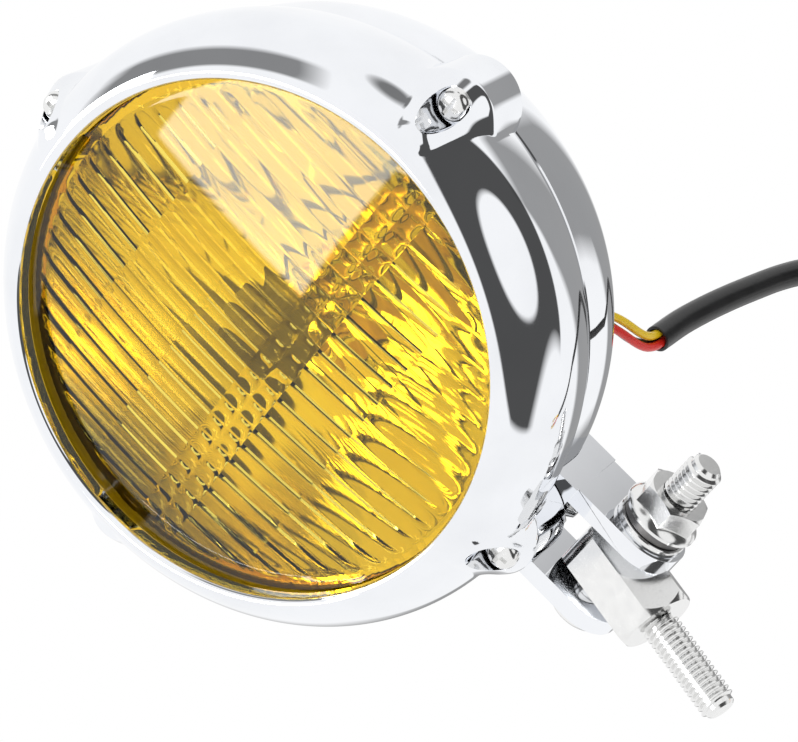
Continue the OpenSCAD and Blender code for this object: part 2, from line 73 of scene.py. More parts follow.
# %% Head frame
PIVOT = Vector(frame["joints"][0]["pos_m"])
HEAD_TILT = 16.0        # degrees, lens downwards
PIVOT_BACK = 40.0       # of the pivot behind the front edge
PIVOT_DROP = 81.5       # of the pivot below the lens's middle
HEAD = (Matrix.Translation(PIVOT) @ Matrix.Rotation(radians(HEAD_TILT), 4, "X")
        @ Matrix.Scale(MM, 4) @ Matrix.Translation((0, -PIVOT_BACK, PIVOT_DROP)))
ROW = Matrix.Scale(MM, 4)


def on_head(x, y, z):
    """A point of the head's frame, in the row's metres."""
    return HEAD @ Vector((x, y, z))


print("lens middle in the row:", [round(v, 4) for v in on_head(0, 0, 0)])

# %% [markdown]
# ## Camera
# A long lens stands low in front of the lamp and to its right, and it is rolled by almost half a
# right angle, so the stud points down to the right. It is placed from the lamp head's frame.

# %% Camera
VIEW_TURN, VIEW_RISE, VIEW_ROLL = radians(32.64), radians(-8.0), radians(45.02)
VIEW_POINT = (20.4, 2.0, -27.0)     # what the camera looks at, in the head's frame
VIEW_DISTANCE = 0.6                 # metres
VIEW_LENS = 138.4                   # millimetres, on a sensor 36 wide
back = Vector((sin(VIEW_TURN) * cos(VIEW_RISE), -cos(VIEW_TURN) * cos(VIEW_RISE), sin(VIEW_RISE)))
right = Vector((cos(VIEW_TURN), sin(VIEW_TURN), 0))
upward = back.cross(right)
across = cos(VIEW_ROLL) * right - sin(VIEW_ROLL) * upward
above = sin(VIEW_ROLL) * right + cos(VIEW_ROLL) * upward
turn = Matrix.Rotation(radians(HEAD_TILT), 3, "X") @ Matrix((across, above, back)).transposed()
camera = bpy.data.objects.new("camera", bpy.data.cameras.new("camera"))
camera.data.sensor_width = 36
camera.data.lens = VIEW_LENS
camera.data.clip_start = 0.05
camera.matrix_world = (Matrix.Translation(on_head(*VIEW_POINT) + turn.col[2] * VIEW_DISTANCE)
                       @ turn.to_4x4())
bpy.context.scene.collection.objects.link(camera)
bpy.context.scene.camera = camera
print("camera at", [round(v, 3) for v in camera.matrix_world.translation])

# %% [markdown]
# ## Shader maths in plain Python
# A node tree is easier to read as a sum than as a list of links. `Value` wraps one socket, and
# Python's operators on it add Math nodes, so `0.1 + 0.2 * grain` is a roughness. Colours and
# vectors go through Mix and Vector Math, because a Math node would turn them grey.


# %% Shader helpers
class Value:
    """A socket of a material's tree that works in sums."""

    def __init__(self, finish, socket):
        self.finish, self.socket = finish, socket

    def math(self, operation, *others, turned_round=False):
        terms = (*others, self) if turned_round else (self, *others)
        return self.finish.node("ShaderNodeMath", {"operation": operation}, terms)

    def __add__(self, other):
        return self.math("ADD", other)

    def __mul__(self, other):
        return self.math("MULTIPLY", other)

    def __radd__(self, other):
        return self.math("ADD", other, turned_round=True)

    def __rsub__(self, other):
        return self.math("SUBTRACT", other, turned_round=True)

    def __rmul__(self, other):
        return self.math("MULTIPLY", other, turned_round=True)

    def above(self, low, high):
        """0 up to low, 1 from high, and a straight ramp between."""
        return self.finish.node("ShaderNodeMapRange", {"clamp": True}, (self, low, high, 0.0, 1.0))


class Finish:
    """A material built from one Principled shader. node() adds any node and gives its output."""

    def __init__(self, name, **constants):
        self.material = bpy.data.materials.new(name)
        self.material.use_nodes = True
        self.tree = self.material.node_tree
        self.shader = self.tree.nodes["Principled BSDF"]
        self.place = self.node("ShaderNodeTexCoord", output="Object")
        for key, value in constants.items():
            self.set(key.replace("_", " "), value)

    def node(self, kind, settings=None, inputs=(), output=0):
        made = self.tree.nodes.new(kind)
        for key, value in (settings or {}).items():
            if key == "stops":
                ramp = made.color_ramp.elements
                while len(ramp) < len(value):
                    ramp.new(0.5)
                for element, (at, colour) in zip(ramp, value):
                    element.position, element.color = at, (*colour, 1)
            else:
                setattr(made, key, value)
        pairs = inputs.items() if isinstance(inputs, dict) else enumerate(inputs)
        for key, value in pairs:
            if isinstance(value, Value):
                self.tree.links.new(value.socket, made.inputs[key])
            elif value is not None:
                made.inputs[key].default_value = value
        return Value(self, made.outputs[output])

    def set(self, name, value):
        if isinstance(value, Value):
            self.tree.links.new(value.socket, self.shader.inputs[name])
        else:
            self.shader.inputs[name].default_value = value

    def noise(self, size_mm, detail=2.0, stretch=(1, 1, 1)):
        """Noise from 0 to 1 whose lumps are about size_mm wide on the object."""
        scaled = self.node("ShaderNodeMapping", {}, {"Vector": self.place, "Scale": stretch})
        return self.node("ShaderNodeTexNoise", {},
                         {"Vector": scaled, "Scale": 1 / (size_mm * MM), "Detail": detail})

    def colours(self, factor, first, second):
        return self.node("ShaderNodeMix", {"data_type": "RGBA"},
                         {"Factor": factor, 6: (*first, 1), 7: (*second, 1)}, output=2)

    def bump(self, height, depth_mm, strength=1.0):
        self.set("Normal", self.node("ShaderNodeBump", {}, {
            "Strength": strength, "Distance": depth_mm * MM, "Height": height}))


# %% [markdown]
# ## Finishes
# Chrome on a pressed bezel is a mirror with faint life in it: a hint of waviness from polishing
# and a thin film of handling marks that only shows as a change of gloss. Zinc plate on bolts is
# duller and a little cloudy. Amber lens glass is clear glass with its colour in the body.


# %% Metal finishes
def chrome():
    f = Finish("chrome", Metallic=1.0)
    smear = f.noise(18, 4).above(0.42, 0.8)
    dust = f.noise(0.6, 3).above(0.62, 0.85)
    f.set("Base Color", f.colours(smear, (0.90, 0.915, 0.945), (0.84, 0.855, 0.885)))
    f.set("Roughness", 0.025 + 0.045 * smear + 0.05 * dust)
    f.bump(f.noise(26, 1), 0.06, 0.5)
    return f.material


def zinc():
    f = Finish("zinc_plate", Metallic=1.0)
    cloud = f.noise(2.2, 3)
    worn = f.noise(0.5, 2).above(0.55, 0.8)
    f.set("Base Color", f.colours(cloud, (0.80, 0.80, 0.80), (0.88, 0.88, 0.87)))
    f.set("Roughness", 0.09 + 0.10 * cloud + 0.1 * worn)
    f.bump(f.noise(0.35, 3), 0.004, 0.5)
    return f.material


def dark_steel():
    f = Finish("blackened_steel", Metallic=1.0)
    cloud = f.noise(1.5, 3)
    f.set("Base Color", f.colours(cloud, (0.10, 0.10, 0.11), (0.26, 0.25, 0.24)))
    f.set("Roughness", 0.3 + 0.2 * cloud)
    f.bump(f.noise(0.3, 2), 0.01)
    return f.material


def spring_steel():
    f = Finish("spring_steel", Metallic=1.0)
    grain = f.noise(0.4, 3, (1, 8, 1))
    f.set("Base Color", f.colours(grain, (0.42, 0.42, 0.43), (0.56, 0.56, 0.56)))
    f.set("Roughness", 0.28 + 0.14 * grain)
    return f.material


def brass():
    f = Finish("brass", Metallic=1.0)
    tarnish = f.noise(2.5, 4)
    f.set("Base Color", f.colours(tarnish, (0.86, 0.66, 0.30), (0.62, 0.44, 0.20)))
    f.set("Roughness", 0.22 + 0.2 * tarnish)
    f.bump(f.noise(0.3, 2), 0.008)
    return f.material


def mirror():
    f = Finish("aluminised_mirror", Metallic=1.0)
    haze = f.noise(9, 3)
    f.set("Base Color", f.colours(haze, (0.93, 0.93, 0.92), (0.86, 0.86, 0.85)))
    f.set("Roughness", 0.03 + 0.05 * haze)
    return f.material


# %% [markdown]
# Glass takes its colour from the Principled shader's transmission, so light that crosses the lens
# twice comes back deeper in colour. Rubber and plastic only need a cloudy gloss and a fine grain.
# The braided sleeving on the wires inside is small cells that also raise the surface.

# %% Glass, rubber and plastic finishes
def amber_glass():
    f = Finish("amber_glass", IOR=1.5)
    f.set("Transmission Weight", 1.0)
    streak = f.noise(14, 2, (1, 1, 0.4))
    f.set("Base Color", f.colours(streak, (1.0, 0.82, 0.13), (1.0, 0.73, 0.075)))
    f.set("Roughness", 0.01 + 0.02 * f.noise(1.2, 2))
    return f.material


def clear_glass():
    f = Finish("bulb_glass", IOR=1.46)
    f.set("Transmission Weight", 1.0)
    f.set("Base Color", f.colours(f.noise(4), (0.98, 0.99, 1.0), (0.93, 0.95, 0.97)))
    f.set("Roughness", 0.01 + 0.02 * f.noise(2))
    return f.material


def soft_black(name, low, high, gloss, grain_mm, depth_mm):
    f = Finish(name)
    cloud = f.noise(6, 3)
    f.set("Base Color", f.colours(cloud, (low, low, low), (high, high, high * 1.05)))
    f.set("Roughness", gloss + 0.12 * cloud)
    f.bump(f.noise(grain_mm, 3), depth_mm)
    return f.material


def insulation(name, colour):
    f = Finish(name)
    cloud = f.noise(5, 2)
    f.set("Base Color", f.colours(cloud, colour, tuple(c * 0.82 for c in colour)))
    f.set("Roughness", 0.26 + 0.14 * cloud)
    f.set("Coat Weight", 0.25 + 0.1 * cloud)
    f.bump(f.noise(0.5, 2), 0.01)
    return f.material


def glass_sleeving():
    f = Finish("glass_sleeving")
    weave = f.node("ShaderNodeTexVoronoi", {}, {"Vector": f.place, "Scale": 1 / (0.8 * MM)})
    f.set("Base Color", f.colours(weave, (0.82, 0.78, 0.66), (0.60, 0.55, 0.44)))
    f.set("Roughness", 0.7 + 0.2 * weave)
    f.bump(weave, 0.15)
    return f.material


CHROME, ZINC, DARK, SPRING = chrome(), zinc(), dark_steel(), spring_steel()
BRASS, MIRROR, AMBER, CLEAR = brass(), mirror(), amber_glass(), clear_glass()
RUBBER = soft_black("rubber", 0.012, 0.03, 0.55, 0.4, 0.03)
PVC = soft_black("pvc_sleeve", 0.008, 0.02, 0.24, 1.1, 0.03)
GASKET = soft_black("pale_gasket", 0.50, 0.60, 0.5, 0.6, 0.02)
PLASTIC = soft_black("moulded_plastic", 0.02, 0.035, 0.42, 0.5, 0.02)
RED = insulation("red_insulation", (0.75, 0.02, 0.012))
YELLOW = insulation("yellow_insulation", (0.92, 0.62, 0.01))
BLACK = insulation("black_insulation", (0.012, 0.012, 0.013))
SLEEVING = glass_sleeving()
print(len(bpy.data.materials), "finishes")

# %% [markdown]
# ## From a bmesh to a piece
# Each new piece is a bmesh in millimetres, in the head's frame or the row's. `piece()` turns it
# into an object at the origin with its place in its mesh, shades it smooth up to a chosen edge
# angle, hangs it on the body it rides on, and hides the CAD nodes that it stands for.


# %% Piece helpers
def mesh_of(bm, matrix=ROW):
    bmesh.ops.transform(bm, matrix=matrix, verts=bm.verts)
    mesh = bpy.data.meshes.new("mesh")
    bm.to_mesh(mesh)
    bm.free()
    return mesh


def piece(name, bm, material, slot, body, *stands_for, matrix=HEAD, crease=35):
    made = bpy.data.objects.new(name, mesh_of(bm, matrix))
    bpy.context.scene.collection.objects.link(made)
    made.data.materials.append(material)
    smooth(made.data, crease)
    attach(made, body)
    if stands_for:
        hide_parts(*stands_for)
    print(f"{name}: {len(made.data.polygons)} faces on the {body}")
    return made


def smooth(mesh, crease):
    mesh.shade_smooth()
    mesh.set_sharp_from_angle(angle=radians(crease))


def spun(outline, steps, closed=True, axis=(0, 1, 0)):
    """A bmesh of an outline of (radius, distance back) spun once around the head's axis."""
    bm = bmesh.new()
    verts = [bm.verts.new((r, y, 0)) for r, y in outline]
    pairs = list(zip(verts, verts[1:])) + ([(verts[-1], verts[0])] if closed else [])
    edges = [bm.edges.new(p) for p in pairs if p[0] is not p[1]]
    bmesh.ops.spin(bm, geom=verts + edges, cent=(0, 0, 0), axis=axis, angle=2 * pi,
                   steps=steps, use_merge=True, use_duplicate=False)
    bmesh.ops.remove_doubles(bm, verts=bm.verts, dist=1e-4)
    bmesh.ops.recalc_face_normals(bm, faces=bm.faces)
    return bm


def rod(radius, length, segments=48, tip=0.0):
    """A bmesh of a capped rod along +Z from the origin, its far end chamfered by tip."""
    bm = spun([(0, 0), (radius, 0), (radius, length - tip), (radius - tip, length), (0, length)],
              segments, closed=False)
    bmesh.ops.transform(bm, matrix=Matrix.Rotation(pi / 2, 4, "X"), verts=bm.verts)
    return bm


def turned(bm, matrix):
    bmesh.ops.transform(bm, matrix=matrix, verts=bm.verts)
    return bm


def joined(*parts):
    """One bmesh that holds all the parts, and frees the others."""
    whole = bmesh.new()
    for part in parts:
        mesh = bpy.data.meshes.new("part")
        part.to_mesh(mesh)
        part.free()
        whole.from_mesh(mesh)
        bpy.data.meshes.remove(mesh)
    return whole


def carved(bm, *tools, operation="DIFFERENCE"):
    """The bmesh with each tool's shape cut away, joined on or kept in common, by exact booleans."""
    target = bpy.data.objects.new("target", mesh_of(bm, Matrix()))
    bpy.context.scene.collection.objects.link(target)
    scrap = [target]
    for tool in tools:
        cutter = bpy.data.objects.new("cutter", mesh_of(tool, Matrix()))
        bpy.context.scene.collection.objects.link(cutter)
        scrap.append(cutter)
        modifier = target.modifiers.new("cut", "BOOLEAN")
        modifier.operation, modifier.solver, modifier.object = operation, "EXACT", cutter
    evaluated = target.evaluated_get(bpy.context.evaluated_depsgraph_get())
    result = bmesh.new()
    result.from_mesh(evaluated.to_mesh())
    for o in scrap:
        mesh = o.data
        bpy.data.objects.remove(o)
        bpy.data.meshes.remove(mesh)
    bmesh.ops.remove_doubles(result, verts=result.verts, dist=1e-4)
    return result


def finish_cad(material, *names):
    """Gives CAD nodes that stay as they are a finish of their own."""
    for name in names:
        nodes[name].data.materials.clear()
        nodes[name].data.materials.append(material)
        smooth(nodes[name].data, 30)


# %% [markdown]
# ## The lead
# Three wires leave the bucket through a grommet, run into a black PVC sleeve, and come out of it
# again at bullet terminals. The sleeve is stiff enough to stand off for a few centimetres before
# it hangs. The route's points are listed one by one and lie where the CAD solids lie.

# %% Lead: the route
SLEEVE_ROUTE = [(0.0205, 0.037, 0.0565), (0.0224, 0.044, 0.058), (0.0247, 0.052, 0.059),
                (0.027, 0.060, 0.0596), (0.029, 0.068, 0.060), (0.031, 0.076, 0.0602),
                (0.033, 0.084, 0.0596), (0.035, 0.092, 0.0574), (0.037, 0.100, 0.053),
                (0.039, 0.107, 0.0462), (0.0405, 0.112, 0.0376), (0.0415, 0.1155, 0.028),
                (0.042, 0.1175, 0.017), (0.042, 0.1185, 0.005), (0.042, 0.119, -0.008),
                (0.042, 0.119, -0.024), (0.042, 0.119, -0.042), (0.042, 0.119, -0.060),
                (0.042, 0.119, -0.078), (0.042, 0.119, -0.096)]
TAIL_END = Vector((0.042, 0.119, -0.132))
SLEEVE_D, WIRE_D = 0.006, 0.0019
BOWL_R, BOWL_D, BOWL_Y = 61.7, 37.0, 38.0       # the bucket's round bowl
GROMMET_ARC, GROMMET_TURN = radians(45), radians(-62)
GROMMET_R = BOWL_R * cos(GROMMET_ARC)
GROMMET_Y = BOWL_Y + BOWL_D * sin(GROMMET_ARC)
GROMMET_LEAN = atan2(cos(GROMMET_ARC) / BOWL_R, sin(GROMMET_ARC) / BOWL_D)
WIRE_START, WIRE_EXIT = -3.3, 4.2               # heights on the grommet's axis
WIRE_FAN, TAIL_SPREAD = 0.00115, 0.005          # of each wire from the bundle's middle
TAIL_STRAIGHT = 0.008                           # straight length at each end of the tail
NEAR_STEPS, NEAR_REACH, NEAR_BULGE = 10, 0.42, 0.35     # of the bend from grommet to sleeve
PER_SPAN = 4                                    # a smooth line's points to each of its route's


def off_grommet(height):
    """The point on the grommet's axis that lies height millimetres outside the sheet, in metres."""
    r = GROMMET_R + height * sin(GROMMET_LEAN)
    return on_head(r * cos(GROMMET_TURN), GROMMET_Y + height * cos(GROMMET_LEAN),
                   r * sin(GROMMET_TURN))


def fanned(point, direction, k, radius):
    """Wire k's place around the bundle's middle, a third of a turn from its neighbours."""
    u = direction.cross(Vector((0.1, 0.25, 1))).normalized()
    v = direction.cross(u)
    angle = radians(120 * k + 90)
    return Vector(point) + radius * (u * cos(angle) + v * sin(angle))


def smooth_line(points):
    """More points on a soft curve through the given ones."""
    p = [Vector(q) for q in points]
    p = [2 * p[0] - p[1]] + p + [2 * p[-1] - p[-2]]
    line = []
    for a, b, c, d in zip(p, p[1:], p[2:], p[3:]):
        for i in range(PER_SPAN):
            t = i / PER_SPAN
            line.append(0.5 * (2 * b + (c - a) * t + (2 * a - 5 * b + 4 * c - d) * t * t
                               + (3 * b - a - 3 * c + d) * t ** 3))
    return line + [p[-2]]


def bend(p0, p1, p2, p3, steps):
    """Points of a smooth bend from p0 to p3, leaving towards p1 and arriving from p2."""
    return [(1 - t) ** 3 * p0 + 3 * (1 - t) ** 2 * t * p1 + 3 * (1 - t) * t * t * p2 + t ** 3 * p3
            for t in (i / steps for i in range(steps + 1))]


def curve_cord(name, line, diameter, material):
    data = bpy.data.curves.new(name, "CURVE")
    data.dimensions = "3D"
    data.bevel_depth = diameter / 2
    data.bevel_resolution = 5
    data.use_fill_caps = True
    spline = data.splines.new("POLY")
    spline.points.add(len(line) - 1)
    for point, place in zip(spline.points, line):
        point.co = (*place, 1)
    spline.use_smooth = True
    data.materials.append(material)
    made = bpy.data.objects.new(name, data)
    bpy.context.scene.collection.objects.link(made)
    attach(made, "head")
    return made


def length_of(line):
    return sum((b - a).length for a, b in zip(line, line[1:]))


# %% [markdown]
# The sleeve is a curve with a round bevel. A ring spun around Y and turned to the sleeve's
# direction stands at its start, and shows that the sleeve is an open tube.

# %% Lead: sleeve
sleeve_line = smooth_line(SLEEVE_ROUTE)
sleeve = curve_cord("cable_sleeve_tube", sleeve_line, SLEEVE_D, PVC)
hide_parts("cable_sleeve")
into = (sleeve_line[1] - sleeve_line[0]).normalized()
down = (sleeve_line[-1] - sleeve_line[-2]).normalized()
mouth_ring = spun([(2.25, -1.8), (2.4, -2.0), (2.85, -2.0), (3.0, -1.8), (3.0, 0.4), (2.25, 0.4)], 40)
turned(mouth_ring, Matrix.Translation(sleeve_line[0] / MM)
       @ Vector((0, 1, 0)).rotation_difference(into).to_matrix().to_4x4())
piece("sleeve_mouth", mouth_ring, PVC, "black_insulation", "head", "cable_sleeve", matrix=ROW)
print("sleeve:", round(length_of(sleeve_line), 3), "m")

# %% [markdown]
# The wires go straight through the grommet and bend into the sleeve, keep their places round its
# middle, and spread beyond its far end. Each ends in a bullet terminal with a crimped neck.

# %% Lead: wires and terminals
wire_start, wire_exit = off_grommet(WIRE_START), off_grommet(WIRE_EXIT)
outward = (wire_exit - wire_start).normalized()
last = sleeve_line[0] - into * MM
reach = NEAR_REACH * (sleeve_line[0] - wire_exit).length
near = bend(wire_exit, wire_exit + reach * outward, last - reach * into, last, NEAR_STEPS)
near = [wire_start] + near + [sleeve_line[0]]


def wire_route(k):
    """Wire k's route, from the grommet through the sleeve to its terminal."""
    route = []
    for i, (a, p, b) in enumerate(zip([near[0]] + near, near, near[1:] + [near[-1]])):
        loose = 1 + NEAR_BULGE * sin(pi * i / (len(near) - 1))
        route.append(fanned(p, (b - a).normalized(), k, WIRE_FAN * loose))
    for i in range(1, len(SLEEVE_ROUTE) - 1):
        along = sleeve_line[PER_SPAN * i + 1] - sleeve_line[PER_SPAN * i - 1]
        route.append(fanned(SLEEVE_ROUTE[i], along.normalized(), k, WIRE_FAN))
    end = sleeve_line[-1]
    tail = ((end, WIRE_FAN), (end + down * TAIL_STRAIGHT, WIRE_FAN * 1.4),
            ((end + TAIL_END) / 2, TAIL_SPREAD * 0.6),
            (TAIL_END - down * TAIL_STRAIGHT, TAIL_SPREAD * 0.95), (TAIL_END, TAIL_SPREAD))
    return route + [fanned(place, down, k, spread) for place, spread in tail]


def bullet(end):
    """A bullet terminal that hangs from a wire's end."""
    bm = spun([(0, -4), (1.35, -4), (1.6, -3.4), (1.6, 3.2), (1.35, 3.5), (1.35, 4.2), (1.6, 4.5),
               (1.6, 7.2), (1.2, 7.6), (1.2, 8.2), (1.95, 8.6), (1.95, 12.4), (1.7, 13.2),
               (0.9, 14), (0, 14)], 32, closed=False)
    return turned(bm, Matrix.Translation(end / MM) @ Matrix.Rotation(-pi / 2, 4, "X"))


for k, (colour, material) in enumerate((("red", RED), ("black", BLACK), ("yellow", YELLOW))):
    line = smooth_line(wire_route(k))
    wire = curve_cord(f"lead_{colour}", line, WIRE_D, material)
    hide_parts(f"wire_{colour}")
    terminal = piece(f"terminal_{colour}", bullet(fanned(TAIL_END, down, k, TAIL_SPREAD)), BRASS,
                     "brass", "head", "wire_terminals", matrix=ROW)
    round(length_of(line), 2)
    print(f"{colour} wire:", round(length_of(line), 3), "m")
round(length_of(sleeve_line), 2)

# %% [markdown]
# ## Grommet
# The rubber grommet sits in the bowl's hole and turns the wires out along the sheet's normal. It
# is one spun outline: an inner flange, a neck in the hole, an outer flange and a soft nose.

# %% Grommet
hole_r, bore_r = 4.5, 2.4
grommet_outline = [(bore_r, -3.4), (hole_r + 1.3, -3.4), (hole_r + 1.3, -1.9), (hole_r - 0.1, -1.9),
                   (hole_r - 0.1, 0.1), (hole_r + 2, 0.1), (hole_r + 2.0, 0.9), (hole_r + 1.4, 1.5),
                   (hole_r + 0.7, 2.0), (hole_r - 0.2, 3.2), (hole_r - 0.9, 3.9), (bore_r + 0.4, 4.0),
                   (bore_r, 3.7)]
grommet = turned(spun(grommet_outline, 48),
                 Matrix.Rotation(-GROMMET_TURN, 4, "Y") @ Matrix.Translation((GROMMET_R, GROMMET_Y, 0))
                 @ Matrix.Rotation(-GROMMET_LEAN, 4, "Z"))
piece("grommet", grommet, RUBBER, "rubber", "head", "cable_grommet")

# %% [markdown]
# ## Bezel
# The bezel is a pressed ring with a rolled lip and four humps, each with a round bore in its
# front slope for a screw. A spun ring gives the swell. The humps are raised by moving its points
# outwards, blended softly into the ring, and the bores are cut by exact booleans so their mouths
# come out as the long ovals that a round bore makes in a slope.

# %% Bezel: the ring's curve and the humps
OPENING_R, LIP_R, BEZEL_R, SEAM_R = 54.0, 57.0, 65.0, 62.0
BEZEL_LEN, WIDEST_Y, WALL = 30.0, 15.0, 1.2
HUMP_TOP, HUMP_R, HUMP_Y = 70.0, 9.4, 17.0
SCREW_R, TROUGH_R, SEAT_Y = 65.0, 3.7, 14.0
LENS_Y = 4.2
HUMP_BLEND = 3.5
NOSE_DROP, NOSE_TAPER = 3.6, 5.9        # how far a hump's nose runs in, and how much it narrows
NOSE_END_Y, NOSE_SLOPE = 3.0, 1.5       # where the nose starts to fall to the lip, and how steeply
BEAD_MID_R, BEAD_Y, BEAD_R = 55.6, 1.0, 1.5
SCREW_HOLE_R = 2.2


def swell(y):
    """Outside radius of the plain ring."""
    if y < WIDEST_Y:
        return BEZEL_R - (BEZEL_R - LIP_R) * (1 - y / WIDEST_Y) ** 2
    return BEZEL_R - (BEZEL_R - SEAM_R) * ((y - WIDEST_Y) / (BEZEL_LEN - WIDEST_Y)) ** 2


def hump_radius(angle, y, inset=0.0):
    """Radius of the nearest hump's round back, seen from the axis at that angle."""
    ahead = max(0.0, HUMP_Y - y) / WIDEST_Y
    middle = HUMP_TOP - HUMP_R - NOSE_DROP * ahead
    radius = HUMP_R - inset - NOSE_TAPER * ahead
    turn = (angle + pi / 4) % (pi / 2) - pi / 4
    left = radius * abs(radius) - (middle * sin(turn)) ** 2
    back = middle * cos(turn) + (sqrt(left) if left > 0 else -sqrt(-left))
    return back - NOSE_SLOPE * max(0.0, NOSE_END_Y - y)


def blended(a, b, soft):
    """The larger of two radii, with a soft valley where they cross."""
    h = max(soft - abs(a - b), 0) / soft
    return max(a, b) + h * h * soft / 4


def raise_humps(bm, inset, front, keep):
    """Moves the ring's points out to the humps' backs, from front to the rear, past radius keep."""
    for v in bm.verts:
        r, angle = sqrt(v.co.x ** 2 + v.co.z ** 2), atan2(v.co.z, v.co.x)
        if v.co.y > front and r > keep:
            out = blended(r, hump_radius(angle, v.co.y, inset), HUMP_BLEND)
            v.co.x, v.co.z = v.co.x * out / r, v.co.z * out / r


# %% [markdown]
# The outside and the inside are two separate solids. The humps are raised on both, and the inner
# one is then taken away from the outer one, which leaves sheet of an even thickness. Metal is
# kept around each bore, because on the real ring the screw's head needs a seat.

# %% Bezel: spin, raise and bore
bead = [(BEAD_MID_R - BEAD_R * cos(radians(a)), BEAD_Y - BEAD_R * sin(radians(a)))
        for a in range(0, 121, 12)]
# the rings stand closer together near the lip, where the curve is tight
rows = [1.3 + 0.4 * i for i in range(7)] + [4.2 + 0.62 * i for i in range(42)]
outer = [(0, LENS_Y), (OPENING_R + 0.1, LENS_Y)] + bead
outer += [(swell(y) - 0.25 * exp(-y), y) for y in rows if y < BEZEL_LEN - 0.4]
outer += [(swell(BEZEL_LEN) - 0.1, BEZEL_LEN - 0.15), (SEAM_R - 0.35, BEZEL_LEN), (0, BEZEL_LEN)]
inner = [(0, 3.5), (OPENING_R + 0.6, 3.5), (OPENING_R + 0.6, LENS_Y + 0.2)]
inner += [(swell(y) - WALL, y) for y in (4.6, 6, 8, 10, 12, 14, 15.5, 16.9, 17.1, 19, 21, 23, 25, 27,
                                        29, BEZEL_LEN)]
inner += [(SEAM_R - WALL, BEZEL_LEN + 1), (0, BEZEL_LEN + 1)]
AROUND = 720
body = spun(outer, AROUND, closed=False)
raise_humps(body, inset=0.0, front=1.5, keep=SEAM_R - 8)
hollow = spun(inner, AROUND // 2, closed=False)
raise_humps(hollow, inset=WALL, front=HUMP_Y, keep=SEAM_R - 3)


def at_humps(make):
    """One of make()'s shapes, drawn along +Z, set behind each hump's screw along +Y."""
    lay = Matrix.Rotation(-pi / 2, 4, "X")
    return joined(*[turned(make(), Matrix.Rotation(k * pi / 2, 4, "Y")
                           @ Matrix.Translation((SCREW_R, 0, 0)) @ lay) for k in range(4)])


def rod_from(start, end, radius):
    """What makes a rod between two distances behind the front edge."""
    return lambda: turned(rod(radius, end - start, 64), Matrix.Translation((0, 0, start)))


hollow = carved(hollow, at_humps(rod_from(1, HUMP_Y, TROUGH_R + WALL)))
body = carved(body, hollow, at_humps(rod_from(-5, SEAT_Y, TROUGH_R)),
              at_humps(rod_from(SEAT_Y - 1, HUMP_Y + 1, SCREW_HOLE_R)))
print("bezel faces:", len(body.faces))
piece("bezel_shell", body, CHROME, "chrome", "head", "bezel", crease=32)

# %% [markdown]
# ## Bezel screws
# Each screw is a pan head with a cross recess on a plain shank that reaches the lug inside. The
# recess is two crossed boxes cut from the head.


# %% Bezel screws
def box_mm(x, y, z, bevel=0.0):
    """A box between the limits given as (low, high) pairs, its edges rounded by bevel."""
    bm = bmesh.new()
    size = [h - l for l, h in (x, y, z)]
    middle = [(h + l) / 2 for l, h in (x, y, z)]
    bmesh.ops.create_cube(bm, size=1, matrix=Matrix.Translation(middle) @ Matrix.Diagonal((*size, 1)))
    if bevel:
        bmesh.ops.bevel(bm, geom=bm.edges[:], offset=bevel, segments=3, profile=0.5,
                        affect="EDGES", material=-1)
    return bm


def pan_screw():
    """A pan-head screw, head towards -Z, its bearing face at SEAT_Y."""
    dome = [(0, -2.6), (1.4, -2.55), (2.4, -2.3), (3.1, -1.7), (3.4, -0.9), (3.4, 0), (1.9, 0),
            (1.9, 13.2), (1.5, 14), (0, 14)]
    screw = turned(spun(dome, 48, closed=False), Matrix.Rotation(pi / 2, 4, "X"))
    arms = [box_mm((-2, 2), (-0.45, 0.45), (-3, -1.3)), box_mm((-0.45, 0.45), (-2, 2), (-3, -1.3))]
    return turned(carved(screw, *arms), Matrix.Translation((0, 0, SEAT_Y)))


piece("bezel_screw_set", at_humps(pan_screw), ZINC, "zinc_steel", "head", "bezel_screws")

# %% [markdown]
# ## Bucket
# The bucket is a deep pressed bowl: a rim that slides into the bezel, a short straight ring and
# an elliptical bowl. One closed outline, walked forwards outside and back inside, is spun once.

# %% Bucket
RIM_R, RIM_Y, SHOULDER_Y = 60.5, 23.4, 30.6


def bowl_curve(inset, steps=40):
    """The bowl's quarter ellipse from its ring to the axis, set in by the sheet."""
    angles = [pi / 2 * i / steps for i in range(steps)]
    return [((BOWL_R - inset) * cos(a), BOWL_Y + (BOWL_D - inset) * sin(a)) for a in angles] + [
        (0, BOWL_Y + BOWL_D - inset)]


bucket_outline = [(RIM_R, RIM_Y), (RIM_R, SHOULDER_Y - 0.3), (RIM_R + 0.9, SHOULDER_Y),
                  (BOWL_R, SHOULDER_Y + 0.4), (BOWL_R, SHOULDER_Y + 3)] + bowl_curve(0)
bucket_outline += bowl_curve(WALL)[::-1] + [(BOWL_R - WALL, SHOULDER_Y + WALL + 0.4),
                                            (RIM_R - WALL, SHOULDER_Y + WALL), (RIM_R - WALL, RIM_Y)]
bucket = spun(bucket_outline, 360)
hole = turned(rod(hole_r, 8, 64), Matrix.Rotation(-GROMMET_TURN, 4, "Y")
              @ Matrix.Translation((GROMMET_R, GROMMET_Y, 0)) @ Matrix.Rotation(-GROMMET_LEAN, 4, "Z")
              @ Matrix.Rotation(-pi / 2, 4, "X") @ Matrix.Translation((0, 0, -4)))
bucket = carved(bucket, hole)
piece("bucket_bowl", bucket, CHROME, "chrome", "head", "bucket", crease=30)

# %% [markdown]
# ## Lens
# The lens is a shallow dome of amber glass, smooth in front. Upright flutes are pressed into its
# back in rows, so its light spreads sideways, and two rows of small square cells cross its
# middle. The blank is spun, and a block with the flutes' shape on its front is cut from its back.
# The block's grid has lines exactly at the rows' edges, so each row ends crisply.

